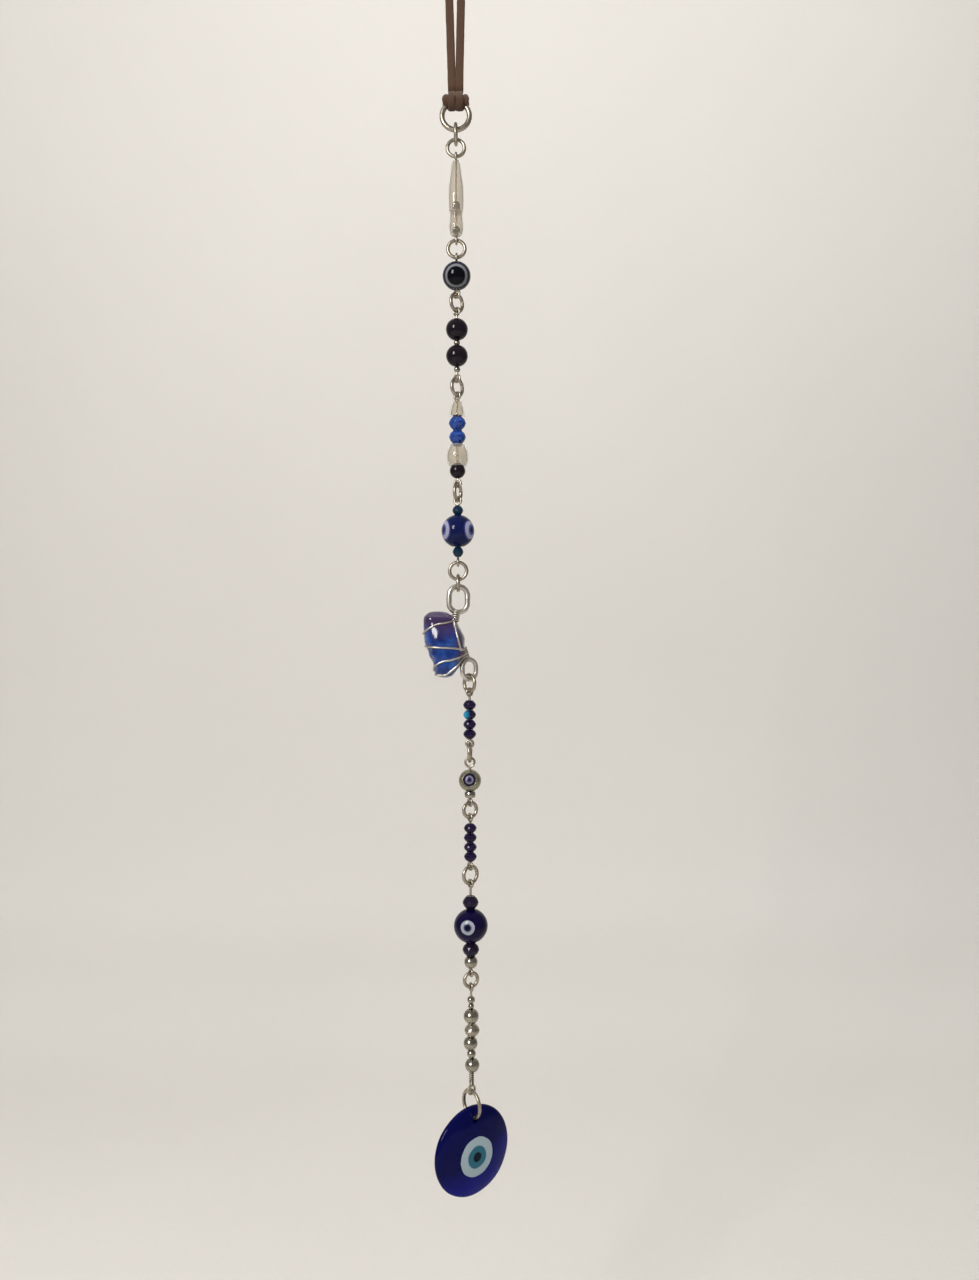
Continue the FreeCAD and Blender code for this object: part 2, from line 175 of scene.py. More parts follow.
def smooth_line(corners, count):
    """Evenly stepped points on a Catmull-Rom curve through given corners."""
    line = []
    spans = len(corners) - 1
    for step in range(count + 1):
        place = step / count * spans
        index = min(int(place), spans - 1)
        share = place - index
        p1, p2 = corners[index], corners[index + 1]
        p0 = corners[index - 1] if index else p1 * 2 - p2
        p3 = corners[index + 2] if index + 2 <= spans else p2 * 2 - p1
        line.append(0.5 * (2 * p1 + (p2 - p0) * share + (2 * p0 - 5 * p1 + 4 * p2 - p3) * share ** 2
                           + (3 * p1 - p0 - 3 * p2 + p3) * share ** 3))
    return line


def middle_of(node):
    """The middle of a CAD node's box."""
    low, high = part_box(node)
    return (low + high) / 2


def bead_centre(node):
    """The middle of a bead, on the line of the string."""
    x, _, z = middle_of(node)
    return Vector((x, 0, z))


def finish_piece(piece, body, slot, material, *nodes, bevel=0.0):
    """Give a piece its material and its body, and hide the CAD nodes that it stands for."""
    if bevel:
        modifier = piece.modifiers.new("edges", "BEVEL")
        modifier.width = bevel
        modifier.segments = 2
        modifier.limit_method = "ANGLE"
    piece.data.materials.append(material)
    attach(piece, body)
    if nodes:
        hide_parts(*nodes)
    return piece


# ---- materials ----------------------------------------------------------
BLACK = (0, 0, 0)
WHITE = (1, 1, 1)
VIOLET_ABOVE = -190.5 * MM       # the nugget turns violet from this height up
VIOLET_RIGHT = -2.1 * MM         # and from this far to the right


class Shader:
    """A material and short ways to add and link its nodes."""

    def __init__(self, name, **sockets):
        self.material = bpy.data.materials.new(name)
        self.material.use_nodes = True
        self.tree = self.material.node_tree
        self.surface = self.tree.nodes["Principled BSDF"]
        for socket, value in sockets.items():
            self.surface.inputs[socket.replace("_", " ")].default_value = value
        self.place = self.add("ShaderNodeTexCoord").outputs["Object"]

    def add(self, kind, **settings):
        node = self.tree.nodes.new(kind)
        for key, value in settings.items():
            setattr(node, key, value)
        return node

    def link(self, output, node, socket):
        self.tree.links.new(output, node.inputs[socket])

    def combine(self, kind, operation, values, result):
        """A node that works on values, each of them a constant or another node's output."""
        node = self.add(kind, operation=operation)
        for index, value in enumerate(values):
            if isinstance(value, bpy.types.NodeSocket):
                self.link(value, node, index)
            else:
                node.inputs[index].default_value = value
        return node.outputs[result]

    def math(self, operation, first, second):
        return self.combine("ShaderNodeMath", operation, (first, second), "Value")

    def vector(self, operation, first, second):
        return self.combine("ShaderNodeVectorMath", operation, (first, second), "Vector")

    def measure(self, operation, *values):
        """A number worked out from vectors: a length, a distance or a dot product."""
        return self.combine("ShaderNodeVectorMath", operation, values, "Value")

    def stretched(self, *scale):
        """The place on the piece with its three axes scaled, for patterns that are longer one way."""
        node = self.add("ShaderNodeMapping")
        node.inputs["Scale"].default_value = scale
        self.link(self.place, node, "Vector")
        return node.outputs[0]

    def noise(self, scale, detail, place=None):
        node = self.add("ShaderNodeTexNoise")
        node.inputs["Scale"].default_value = scale
        node.inputs["Detail"].default_value = detail
        node.inputs["Roughness"].default_value = 0.6
        self.link(place or self.place, node, "Vector")
        return node.outputs["Fac"]

    def ramp(self, factor, stops):
        """Colours along a factor: stops are (position, colour)."""
        node = self.add("ShaderNodeValToRGB")
        while len(node.color_ramp.elements) < len(stops):
            node.color_ramp.elements.new(0.5)
        for element, (position, colour) in zip(node.color_ramp.elements, stops):
            element.position = position
            element.color = (*colour, 1.0)
        self.link(factor, node, "Fac")
        return node.outputs["Color"]

    def mix(self, factor, first, second):
        """Blend two colours; a mix node's sockets 6 and 7 and its output 2 are the ones for colours."""
        node = self.add("ShaderNodeMix", data_type="RGBA")
        self.link(factor, node, 0)
        for socket, value in ((6, first), (7, second)):
            if isinstance(value, tuple):
                node.inputs[socket].default_value = (*value, 1.0)
            else:
                self.link(value, node, socket)
        return node.outputs[2]

    def colour(self, output):
        self.link(output, self.surface, "Base Color")

    def roughness(self, factor, low, high):
        """Vary the roughness from low to high over the middle of a noise's range."""
        node = self.add("ShaderNodeMapRange")
        node.inputs["From Min"].default_value = 0.3
        node.inputs["From Max"].default_value = 0.7
        node.inputs["To Min"].default_value = low
        node.inputs["To Max"].default_value = high
        self.link(factor, node, "Value")
        self.link(node.outputs[0], self.surface, "Roughness")

    def bump(self, height, depth, strength=1.0):
        """Raise the skin by a pattern, up to depth in metres."""
        node = self.add("ShaderNodeBump")
        node.inputs["Strength"].default_value = strength
        node.inputs["Distance"].default_value = depth
        self.link(height, node, "Height")
        self.link(node.outputs[0], self.surface, "Normal")


def metal(name, bright, dull, low=0.24, high=0.46, dents=0.000007):
    """Plated wire or bead: tarnish in patches, fine scratches, small dents."""
    shader = Shader(name, Metallic=1.0)
    patches = shader.noise(900, 4)
    scratches = shader.noise(2600, 2, shader.stretched(1.0, 1.0, 0.15))
    shader.colour(shader.mix(shader.math("POWER", patches, 1.3), bright, dull))
    shader.roughness(scratches, low, high)
    shader.bump(shader.math("ADD", patches, shader.math("MULTIPLY", scratches, 0.35)), dents)
    return shader.material


def glossy_glass(name, dark, light):
    """Dense coloured glass: a little swirl in its colour and faint pits in its skin."""
    shader = Shader(name, Roughness=0.08, IOR=1.5, Specular_IOR_Level=0.2)
    shader.colour(shader.mix(shader.noise(500, 6), dark, light))
    shader.roughness(shader.noise(1500, 2), 0.04, 0.14)
    shader.bump(shader.noise(420, 3), 0.00003, 0.5)
    return shader.material


def clear_glass(name, tint):
    """Pressed clear glass with draw lines down its length and a milky skin."""
    shader = Shader(name, Roughness=0.1, IOR=1.2, Transmission_Weight=0.85, Coat_Weight=0.3,
                    Coat_Roughness=0.08)
    streaks = shader.noise(700, 2, shader.stretched(1.0, 1.0, 0.08))
    cloud = shader.noise(260, 5)
    pale = tuple(min(1.0, part * 1.06) for part in tint)
    deep = tuple(part * 0.8 for part in tint)
    shader.colour(shader.mix(shader.math("MULTIPLY", streaks, cloud), pale, deep))
    shader.roughness(cloud, 0.01, 0.06)
    shader.bump(streaks, 0.00001, 0.1)
    return shader.material


def cut_glass(name, tints, through=0.0, gleam=None):
    """Cut crystal, each facet with its own tint.

    The gleam is (place, colour) of light caught inside a bead.
    """
    shader = Shader(name, Roughness=0.06, IOR=1.54, Transmission_Weight=through, Specular_IOR_Level=0.17)
    geometry = shader.add("ShaderNodeNewGeometry")
    facet = shader.vector("SNAP", geometry.outputs["True Normal"], (0.24, 0.24, 0.3))
    pick = shader.add("ShaderNodeTexWhiteNoise", noise_dimensions="3D")
    shader.link(facet, pick, "Vector")
    stops = [(index / (len(tints) - 1), tint) for index, tint in enumerate(tints)]
    swirl = shader.math("MULTIPLY", shader.noise(500, 3), 0.5)
    share = shader.math("ADD", shader.math("MULTIPLY", pick.outputs["Value"], 0.75), swirl)
    tint = shader.ramp(share, stops)
    if gleam:
        middle, bright = gleam
        distance = shader.math("DIVIDE", shader.measure("DISTANCE", shader.place, middle), 2 * MM)
        near = shader.ramp(distance, [(0.3, WHITE), (0.85, BLACK)])
        tint = shader.mix(shader.math("MULTIPLY", near, shader.math("ADD", swirl, 0.6)), tint, bright)
    shader.colour(tint)
    shader.roughness(shader.noise(1800, 2), 0.04, 0.13)
    return shader.material


def from_axis(shader, centre, facing, wobble):
    """How far a point is from the line through centre along facing, and whether it is in front.

    The distance is in mm and wavers by up to half of wobble.
    """
    offset = shader.vector("SUBTRACT", shader.place, centre)
    across = shader.measure("LENGTH", shader.vector("CROSS_PRODUCT", offset, facing))
    radius = shader.math("MULTIPLY", across, 1 / MM)
    waves = shader.math("MULTIPLY", shader.math("SUBTRACT", shader.noise(330, 2), 0.5), wobble)
    front = shader.math("GREATER_THAN", shader.measure("DOT_PRODUCT", offset, facing), 0.0)
    return shader.math("ADD", radius, waves), front


def ring_stops(rings, reach, blur):
    """Colour stops for concentric rings: (outer radius in mm, colour) from the middle out."""
    stops = []
    edge = 0.0
    for radius, colour in rings:
        stops.append((edge, colour))
        edge = min(radius / reach, 1.0)
        stops.append((max(edge - blur, 0.0), colour))
        edge = min(edge + blur, 1.0)
    return stops


def painted_eyes(name, centre, eyes, dark, light, reach, blur=0.02, wobble=0.25, painted_glow=None, gloss=0.14):
    """Dense glass with one or more round eyes melted into it.

    Each eye is (facing, rings); reach is a radius in mm just past the rings. The painted glow
    is (middle, direction, colour) of painted light shining through the glass, lighter towards one side.
    """
    shader = Shader(name, Roughness=0.07, IOR=1.5, Specular_IOR_Level=gloss)
    body = shader.mix(shader.noise(300, 5), dark, light)
    # painted light: the body is painted lighter towards one side, standing in for light that shines through
    # the glass
    if painted_glow:
        middle, towards, glow = painted_glow
        offset = shader.vector("SUBTRACT", shader.place, middle)
        along = shader.measure("DOT_PRODUCT", offset, Vector(towards).normalized() * 60)
        uneven = shader.math("SUBTRACT", shader.noise(120, 4), 0.35)
        share = shader.math("ADD", along, uneven)
        body = shader.mix(shader.ramp(share, [(0.15, BLACK), (1.0, WHITE)]), body, glow)
    for facing, rings in eyes:
        aim = Vector(facing).normalized()
        radius, front = from_axis(shader, centre, aim, wobble)
        share = shader.math("DIVIDE", radius, reach)
        painted = shader.ramp(share, ring_stops(rings, reach, blur))
        inside = shader.math("MULTIPLY", front, shader.math("LESS_THAN", radius, rings[-1][0]))
        body = shader.mix(inside, body, painted)
    shader.colour(body)
    shader.roughness(shader.noise(1400, 2), 0.04, 0.12)
    shader.bump(shader.noise(350, 3), 0.00004, 0.45)
    return shader.material


def suede(name):
    """Brushed brown lace: its nap, smoothed by wear in long patches."""
    shader = Shader(name, Roughness=0.92, Sheen_Weight=0.12, Sheen_Roughness=0.5, Specular_IOR_Level=0.2)
    nap = shader.noise(5200, 4, shader.stretched(1.0, 1.0, 0.35))
    patches = shader.noise(420, 4, shader.stretched(1.0, 1.0, 0.3))
    fibre = shader.mix(nap, (0.032, 0.0155, 0.009), (0.108, 0.058, 0.038))
    worn = shader.mix(nap, (0.047, 0.0245, 0.014), (0.083, 0.044, 0.0265))
    shader.colour(shader.mix(patches, fibre, worn))
    shader.roughness(nap, 0.82, 0.97)
    shader.bump(nap, 0.00012, 0.9)
    return shader.material


def nugget_material(name):
    """Tumbled blue glass, violet at its shoulder and along its right edge."""
    shader = Shader(name, Roughness=0.05, IOR=1.5, Transmission_Weight=0.12, Specular_IOR_Level=0.25,
                    Coat_Weight=0.12, Coat_Roughness=0.14)
    split = shader.add("ShaderNodeSeparateXYZ")
    shader.link(shader.place, split, 0)
    high = shader.math("MULTIPLY", shader.math("SUBTRACT", split.outputs["Z"], VIOLET_ABOVE), 160.0)
    right = shader.math("MULTIPLY", shader.math("SUBTRACT", split.outputs["X"], VIOLET_RIGHT), 330.0)
    rim = shader.math("MAXIMUM", high, right)
    cloud = shader.math("MULTIPLY", shader.math("SUBTRACT", shader.noise(170, 4), 0.5), 1.4)
    violet = shader.ramp(shader.math("ADD", rim, cloud), [(0.25, BLACK), (1.0, WHITE)])
    blue = shader.ramp(shader.noise(260, 5), [(0.3, (0.003, 0.009, 0.075)), (0.5, (0.008, 0.036, 0.20)),
                                              (0.68, (0.022, 0.10, 0.32))])
    shader.colour(shader.mix(violet, blue, (0.038, 0.022, 0.07)))
    shader.roughness(shader.noise(900, 3), 0.07, 0.18)
    shader.bump(shader.noise(240, 3), 0.00005, 0.5)
    return shader.material


SILVER = metal("silver_plate", (0.50, 0.465, 0.39), (0.19, 0.17, 0.13))
BRIGHT = metal("bright_silver", (0.45, 0.425, 0.36), (0.14, 0.127, 0.098), 0.14, 0.32)
AGED = metal("aged_silver", (0.43, 0.41, 0.315), (0.10, 0.092, 0.064), 0.24, 0.45, 0.00003)
# darker silver for the two balls in the clear drops: painted shade, for how dark they look inside the glass
SHADED_SILVER = metal("shaded_silver", (0.13, 0.108, 0.08), (0.03, 0.024, 0.017), 0.16, 0.3)
LOOP_WIRE = metal("nugget_loop_wire", (0.76, 0.72, 0.66), (0.27, 0.25, 0.21), 0.26, 0.48)
RING_WIRE = metal("ring_wire", (0.55, 0.49, 0.40), (0.17, 0.147, 0.11), 0.26, 0.46)
PIN_WIRE = metal("pin_wire", (0.58, 0.525, 0.435), (0.21, 0.184, 0.14), 0.26, 0.46)
BLACK_GLASS = glossy_glass("black_glass", (0.004, 0.003, 0.005), (0.012, 0.007, 0.012))
TEAL_GLASS = glossy_glass("teal_glass", (0.002, 0.008, 0.02), (0.006, 0.03, 0.06))
CLEAR_GLASS = clear_glass("clear_glass", (0.63, 0.575, 0.485))
SUEDE = suede("brown_suede")


# ---- suede loop and knot ------------------------------------------------
# the lace's route: up from the hitch, round the hook and down again
CORD_ROUTE = [(-0.00095, 0, -0.0412), (-0.0016, 0, -0.014), (-0.0021, 0, -0.003), (-0.0021, 0, 0.0011),
              (0.0021, 0, 0.0011), (0.0021, 0, -0.003), (0.0016, 0, -0.014), (0.00095, 0, -0.0412)]
TWIST_FROM = 0.7         # share of the way up at which the lace starts to turn flat over the hook
# the knot's lines in mm: to the side, towards the back, and up from the top of the ring's middle line
TOP_RING_R = 3.7
KNOT_STRAND = [(0.95, 0.2, 4.0), (0.95, -0.1, 2.4), (0.95, -1.2, 1.1), (1.14, -1.6, -0.1),
               (1.026, -1.2, -1.1), (0.95, 0, -1.55), (1.235, 1.3, -0.8), (1.52, 1.6, 0.4),
               (1.995, 1.4, 1.4)]
KNOT_BAR = [(-3.0, 0.6, 1.0), (-1.4, 1.9, 1.5), (1.4, 1.9, 1.5), (3.0, 0.6, 1.0)]


def spline_points(route, resolution):
    """Points along the route's smooth line."""
    curve = bpy.data.curves.new("route", "CURVE")
    curve.dimensions = "3D"
    curve.resolution_u = resolution
    spline = curve.splines.new("NURBS")
    spline.points.add(len(route) - 1)
    for point, place in zip(spline.points, route):
        point.co = (*place, 1.0)
    spline.order_u = 3
    spline.use_endpoint_u = True
    holder = bpy.data.objects.new("route", curve)
    bpy.context.scene.collection.objects.link(holder)
    bpy.context.view_layer.update()
    mesh = bpy.data.meshes.new_from_object(holder)
    points = [vertex.co.copy() for vertex in mesh.vertices]
    bpy.data.objects.remove(holder)
    bpy.data.meshes.remove(mesh)
    return points


def roughened(points, amount, scale):
    """Nudge points by smooth noise, so that nothing handmade looks machined."""
    moved = []
    for point in points:
        shift = noise.noise_vector(Vector(point) * scale) * amount
        moved.append(Vector(point) + shift)
    return moved


def lace_spin(share):
    """How far the lace has twisted, by its share of the way along: a quarter turn at the hook."""
    rise = min(share, 1 - share) * 2
    return math.radians(90) * max(0.0, (rise - TWIST_FROM) / (1 - TWIST_FROM)) ** 2


def make_cord(knot):
    """The doubled lace from the knot up round the hook and back."""
    line = spline_points(CORD_ROUTE, 24)
    points, faces = sweep(line, lace_section(), spin=lace_spin)
    lace = new_mesh("suede_lace", roughened(points, 0.06 * MM, 900), faces)
    finish_piece(lace, "root", "suede", SUEDE, "suede_loop")


def make_knot():
    """The lark's head: both strands go over the ring, and the bight grips them from behind."""
    ring_top = Vector((0, 0, middle_of("top_ring")[2] + TOP_RING_R * MM))
    parts = []
    for side in (-1, 1):
        strand = [ring_top + Vector((side * x, y, z)) * MM for x, y, z in KNOT_STRAND]
        parts.append(sweep(smooth_line(strand, 44), lace_section(0.96, 0.96)))
        lobe = []
        for front, down in circle(1.0, 28):
            place = Vector((side * (2.78 - 0.75 * down ** 2), -1.15 * front, 0.2 - down))
            lobe.append(ring_top + place * MM)
        parts.append(sweep(lobe, lace_section(0.78, 0.9), closed=True))
    bar = [ring_top + Vector(place) * MM for place in KNOT_BAR]
    parts.append(sweep(smooth_line(bar, 20), lace_section()))
    knot = joined("suede_knot", [(roughened(points, 0.1 * MM, 700), faces) for points, faces in parts])
    return finish_piece(knot, "root", "suede", SUEDE, "suede_hitch")


# ---- beads --------------------------------------------------------------
def ball_outline(radius, half, middle):
    """A drilled ball: the flats round its hole are eased and the bore is open."""
    steps = 26
    tilt = math.asin(min(half / radius, 0.999))
    flat_r = math.sqrt(max(radius ** 2 - half ** 2, 0))
    lip_r = PIN_BORE + (flat_r - PIN_BORE) * 0.35
    outline = [(PIN_BORE, middle + half * 0.94), (lip_r, middle + half * 0.992)]
    for k in range(steps + 1):
        angle = tilt - 2 * tilt * k / steps
        outline.append((radius * math.cos(angle), middle + radius * math.sin(angle)))
    outline += [(lip_r, middle - half * 0.992), (PIN_BORE, middle - half * 0.94)]
    return outline


def solids_of(node):
    """The (bottom, top, middle x, half width) of each loose solid in a node, from the top down."""
    mesh = bmesh.new()
    mesh.from_mesh(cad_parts[node].data)
    bmesh.ops.remove_doubles(mesh, verts=mesh.verts, dist=1e-6)
    left = set(mesh.verts)
    found = []
    while left:
        seed = left.pop()
        island = [seed]
        queue = [seed]
        while queue:
            for edge in queue.pop().link_edges:
                for vertex in edge.verts:
                    if vertex in left:
                        left.remove(vertex)
                        island.append(vertex)
                        queue.append(vertex)
        xs = [vertex.co.x for vertex in island]
        zs = [vertex.co.z for vertex in island]
        found.append((min(zs), max(zs), (min(xs) + max(xs)) / 2, (max(xs) - min(xs)) / 2))
    mesh.free()
    return sorted(found, reverse=True)


def make_balls(node, body, slot, material):
    """Smooth drilled beads in the place of a CAD node's solids, very slightly out of true."""
    parts = []
    for bottom, top, x, radius in solids_of(node):
        half = (top - bottom) / 2
        outline = ball_outline(max(radius, half * 1.02), half, (top + bottom) / 2)
        points = roughened(turned_points(outline, (x, 0)), radius * 0.012, 260)
        parts.append((points, loop_faces(len(outline), SEGMENTS, True)))
    return finish_piece(joined(node + "_round", parts), body, slot, material, node)


def cut_bead_part(x, bottom, top, radius, facets, turn):
    """A cut rondelle: a flat table at each end, two rows of slanted facets and a narrow girdle."""
    height = top - bottom
    half = [(PIN_BORE, 0.02), (radius * 0.5, 0), (radius * 0.86, 0.24), (radius, 0.45)]
    rows = [(reach, bottom + height * share) for reach, share in half]
    rows += [(reach, top - height * share) for reach, share in reversed(half)]
    slanted = (2, 5)         # the rows whose corners sit between those of their neighbours
    points = []
    for index, (reach, z) in enumerate(rows):
        shift = 0.5 if index in slanted else 0.0
        for k in range(facets):
            angle = 2 * math.pi * (k + shift + turn) / facets
            points.append((x + reach * math.cos(angle), reach * math.sin(angle), z))
    faces = []
    count = len(rows)
    for row in range(count):
        after = (row + 1) % count
        for k in range(facets):
            beside = (k + 1) % facets
            a, b = row * facets + k, row * facets + beside
            c, d = after * facets + beside, after * facets + k
            if after in slanted:
                faces += [(a, b, d), (b, c, d)]
            elif row in slanted:
                faces += [(a, b, c), (a, c, d)]
            else:
                faces.append((a, b, c, d))
    return points, faces


def make_cut_beads(node, body, slot, material, facets=FACETS):
    """Cut beads in the place of a CAD node's solids, each turned a little from the last."""
    parts = []
    for index, (bottom, top, x, radius) in enumerate(solids_of(node)):
        parts.append(cut_bead_part(x, bottom, top, radius * CUT_SWELL, facets, turn=0.37 * index))
    piece = joined(node + "_cut", parts, smooth=False)
    return finish_piece(piece, body, slot, material, node, bevel=0.05 * MM)


# ---- clear glass drops --------------------------------------------------
def seat_outline(low, ball_z, radius):
    """The hollow under a drop, from its mouth up to the bore, round the ball that sits there."""
    start = math.asin(max(0.0, min((low - ball_z) / radius, 0.99)))
    stop = math.acos(DROP_BORE / radius)
    outline = [(radius, low)] if ball_z > low else []
    for k in range(10):
        angle = start + (stop - start) * k / 9
        outline.append((radius * math.cos(angle), ball_z + radius * math.sin(angle)))
    return outline


def make_drop(node, body, shape, seat=None):
    """A clear drop: shape is (radius in mm, share of its length) down its outside.

    The seat is (height, radius) of the hollow round the ball in its mouth.
    """
    low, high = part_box(node)
    bottom, top = low[2], high[2]
    corners = [Vector((radius * MM, 0, top - share * (top - bottom))) for radius, share in shape]
    outside = [(point.x, point.z) for point in smooth_line(corners, 26)]
    outside[0] = (outside[0][0] * 0.9, top)
    if seat:
        inside = seat_outline(bottom, *seat)
    else:
        inside = [(DROP_BORE * 1.3, bottom), (DROP_BORE, bottom + 0.1 * MM)]
    outline = outside + inside + [(DROP_BORE, top - 0.1 * MM), (DROP_BORE * 1.5, top)]
    points = roughened(turned_points(outline, middle_of(node)), 0.03 * MM, 220)
    piece = new_mesh(node + "_glass", points, loop_faces(len(outline), SEGMENTS, True))
    return finish_piece(piece, body, "clear_glass", CLEAR_GLASS, node)


def make_drops():
    ball_1 = middle_of("silver_ball_1")[2]
    ball_2 = middle_of("silver_ball_2")[2]
    nested = middle_of("nested_black_bead")[2]
    make_drop("tall_drop", "tall_drop", [(1.1, 0), (1.6, 0.28), (2.0, 0.5), (2.12, 0.74), (1.92, 1)],
              (ball_1, 1.26 * MM))
    make_drop("short_drop", "short_drop", [(1.76, 0), (1.8, 0.3), (1.94, 0.6), (1.86, 0.84), (1.5, 1)],
              (ball_2, 1.21 * MM))
    make_drop("clear_cone", "crystal_pin", [(1.05, 0), (1.65, 0.45), (2.12, 1)])
    make_drop("clear_barrel", "clear_barrel", [(1.95, 0), (2.75, 0.28), (3.0, 0.55), (2.85, 0.8), (2.35, 1)],
              (nested, 2.12 * MM))


# ---- shapes turned about any line ---------------------------------------
AXIS_GAP = 0.02 * MM     # radius at which an outline that reaches its axis stops


def turned_towards(outline, centre, facing, around=SEGMENTS):
    """Points and faces of a solid turned about the line along facing; outline is (radius, distance)."""
    turn = Vector((0, 0, 1)).rotation_difference(facing).to_matrix()
    points = [Vector(centre) + turn @ Vector(point) for point in turned_points(outline, (0, 0), around)]
    return points, loop_faces(len(outline), around, False) + end_faces(len(outline), around)


def applied(piece):
    """Replace a piece's mesh by the one that its modifiers give."""
    bpy.context.view_layer.update()
    graph = bpy.context.evaluated_depsgraph_get()
    mesh = bpy.data.meshes.new_from_object(piece.evaluated_get(graph))
    piece.modifiers.clear()
    piece.data = mesh


def drill(piece, middle, facing, radius, reach):
    """Bore a round hole through a piece, as far as reach to each side of the middle."""
    points, faces = turned_towards([(radius, 0), (radius, 2 * reach)], middle - facing * reach, facing, 40)
    bit = new_mesh("bit", points, faces)
    cut = piece.modifiers.new("hole", "BOOLEAN")
    cut.object = bit
    cut.operation = "DIFFERENCE"
    cut.solver = "EXACT"
    applied(piece)
    bpy.data.objects.remove(bit)
    piece.data.set_sharp_from_angle(angle=math.radians(50))


# ---- silver bezel and its glass eye -------------------------------------
BEZEL_FACING = Vector((-0.04, -1.0, 0.2)).normalized()
BEZEL_R = 3.0 * MM
BEZEL_RIM_R = 1.95 * MM
BEZEL_SEAT = 1.66 * MM           # from the middle of the bead to the floor under the eye
BEZEL_DOME_R = 3.05 * MM
BEZEL_EYE_R = 1.69 * MM
GRAIN_R = 0.2 * MM
GRAIN_RING_R = 2.13 * MM
GRAIN_RISE = 2.14 * MM           # from the middle of the bead to the ring of grains


def make_bezel_setting(centre):
    """A silver ball, open in front, with a ring of small grains round the opening."""
    front = math.asin(BEZEL_RIM_R / BEZEL_R)
    lip = BEZEL_R * math.cos(front)
    outline = [(AXIS_GAP, -BEZEL_R)]
    for k in range(1, 30):
        angle = math.pi - (math.pi - front) * k / 29
        outline.append((BEZEL_R * math.sin(angle), BEZEL_R * math.cos(angle)))
    outline += [(BEZEL_RIM_R * 0.98, lip + 0.18 * MM), (BEZEL_RIM_R * 0.91, lip + 0.2 * MM),
                (BEZEL_EYE_R + 0.03 * MM, lip + 0.05 * MM), (BEZEL_EYE_R + 0.02 * MM, BEZEL_SEAT),
                (AXIS_GAP, BEZEL_SEAT)]
    parts = [turned_towards(outline, centre, BEZEL_FACING)]
    side = BEZEL_FACING.cross(Vector((0, 0, 1))).normalized()
    rise = side.cross(BEZEL_FACING)
    grain = [(GRAIN_R * math.sin(math.pi * k / 8) + 1e-6, -GRAIN_R * math.cos(math.pi * k / 8))
             for k in range(9)]
    for across, up in circle(GRAIN_RING_R, 26):
        place = centre + side * across + rise * up + BEZEL_FACING * GRAIN_RISE
        parts.append(turned_towards(grain, place, BEZEL_FACING, 12))
    finish_piece(joined("bezel_setting", parts), "bezel_pin", "bezel_metal", AGED, "bezel_bead")


def make_bezel_eye(centre):
    """The domed glass eye in the setting."""
    floor = BEZEL_SEAT + 0.01 * MM
    edge = math.asin(BEZEL_EYE_R / BEZEL_DOME_R)
    outline = [(AXIS_GAP, floor), (BEZEL_EYE_R, floor)]
    for k in range(17):
        angle = edge * (1 - k / 16) + 0.004
        outline.append((BEZEL_DOME_R * math.sin(angle), BEZEL_DOME_R * math.cos(angle)))
    rings = [(0.36, (0.003, 0.003, 0.01)), (0.75, (0.045, 0.035, 0.11)), (1.15, (0.15, 0.145, 0.19)),
             (1.75, (0.008, 0.007, 0.02))]
    glass = painted_eyes("bezel_eye_glass", centre, [(BEZEL_FACING, rings)], (0.01, 0.01, 0.04),
                         (0.02, 0.02, 0.07), 1.9)
    piece = joined("bezel_dome", [turned_towards(outline, centre, BEZEL_FACING)])
    finish_piece(piece, "bezel_pin", "bezel_eye_glass", glass, "bezel_eye")


def make_bezel():
    centre = bead_centre("bezel_bead")
    make_bezel_setting(centre)
    make_bezel_eye(centre)


# ---- the flat glass eye -------------------------------------------------
DISC_TURN = math.radians(37)
DISC_FACING = Vector((math.sin(DISC_TURN), -math.cos(DISC_TURN), 0))
DISC_R = 12.0 * MM
DISC_HALF = 2.5 * MM             # half its thickness in the middle
DISC_RIM = 1.0 * MM              # half its thickness at the rim
DISC_HOLE_R = 0.95 * MM
DISC_HOLE_RISE = 8.9 * MM        # from its middle to the hole
DISC_EYE_DROP = 0.9 * MM         # the eye sits a little low


def disc_outline():
    """The back of the disc from the middle to the rim, then the rim, then its face."""
    thin = DISC_RIM * 0.85
    back = []
    for k in range(26):
        share = k / 25
        swell = thin + (DISC_HALF - thin) * (1 - share ** 2.4) ** 0.9
        back.append((max(DISC_R * 0.96 * share, AXIS_GAP), -swell))
    rim = []
    for k in range(1, 12):
        angle = math.radians(58) * (2 * k / 12 - 1)
        rim.append((DISC_R - DISC_RIM * 0.975 * (1 - math.cos(angle)), DISC_RIM * math.sin(angle)))
    face = [(radius, -height) for radius, height in reversed(back)]
    return back + rim + face


def disc_material(centre):
    """Cobalt glass with one eye, with painted light shining through it, lighter towards its lower edge."""
    rings = [(1.3, (0.001, 0.006, 0.014)), (3.0, (0.022, 0.105, 0.15)), (5.25, (0.27, 0.34, 0.375))]
    # painted glow: light shining through the disc is painted in, lighter towards its lower right edge
    lower_glow = (centre, (0.35, 0.35, -0.85), (0.003, 0.005, 0.2))
    return painted_eyes("disc_glass", centre - Vector((0, 0, DISC_EYE_DROP)), [(DISC_FACING, rings)],
                        (0.0008, 0.0012, 0.022), (0.0018, 0.003, 0.07), 7.0, blur=0.016, wobble=0.5,
                        painted_glow=lower_glow, gloss=0.09)


def make_disc():
    """A domed disc of glass, poured and so slightly uneven, with a hole near its top edge."""
    centre = middle_of("evil_eye_disc")
    points, faces = turned_towards(disc_outline(), centre, DISC_FACING, 128)
    disc = new_mesh("evil_eye_glass", roughened(points, 0.12 * MM, 160), faces)
    drill(disc, centre + Vector((0, 0, DISC_HOLE_RISE)), DISC_FACING, DISC_HOLE_R, 4 * MM)
    finish_piece(disc, "evil_eye_disc", "disc_glass", disc_material(centre), "evil_eye_disc")


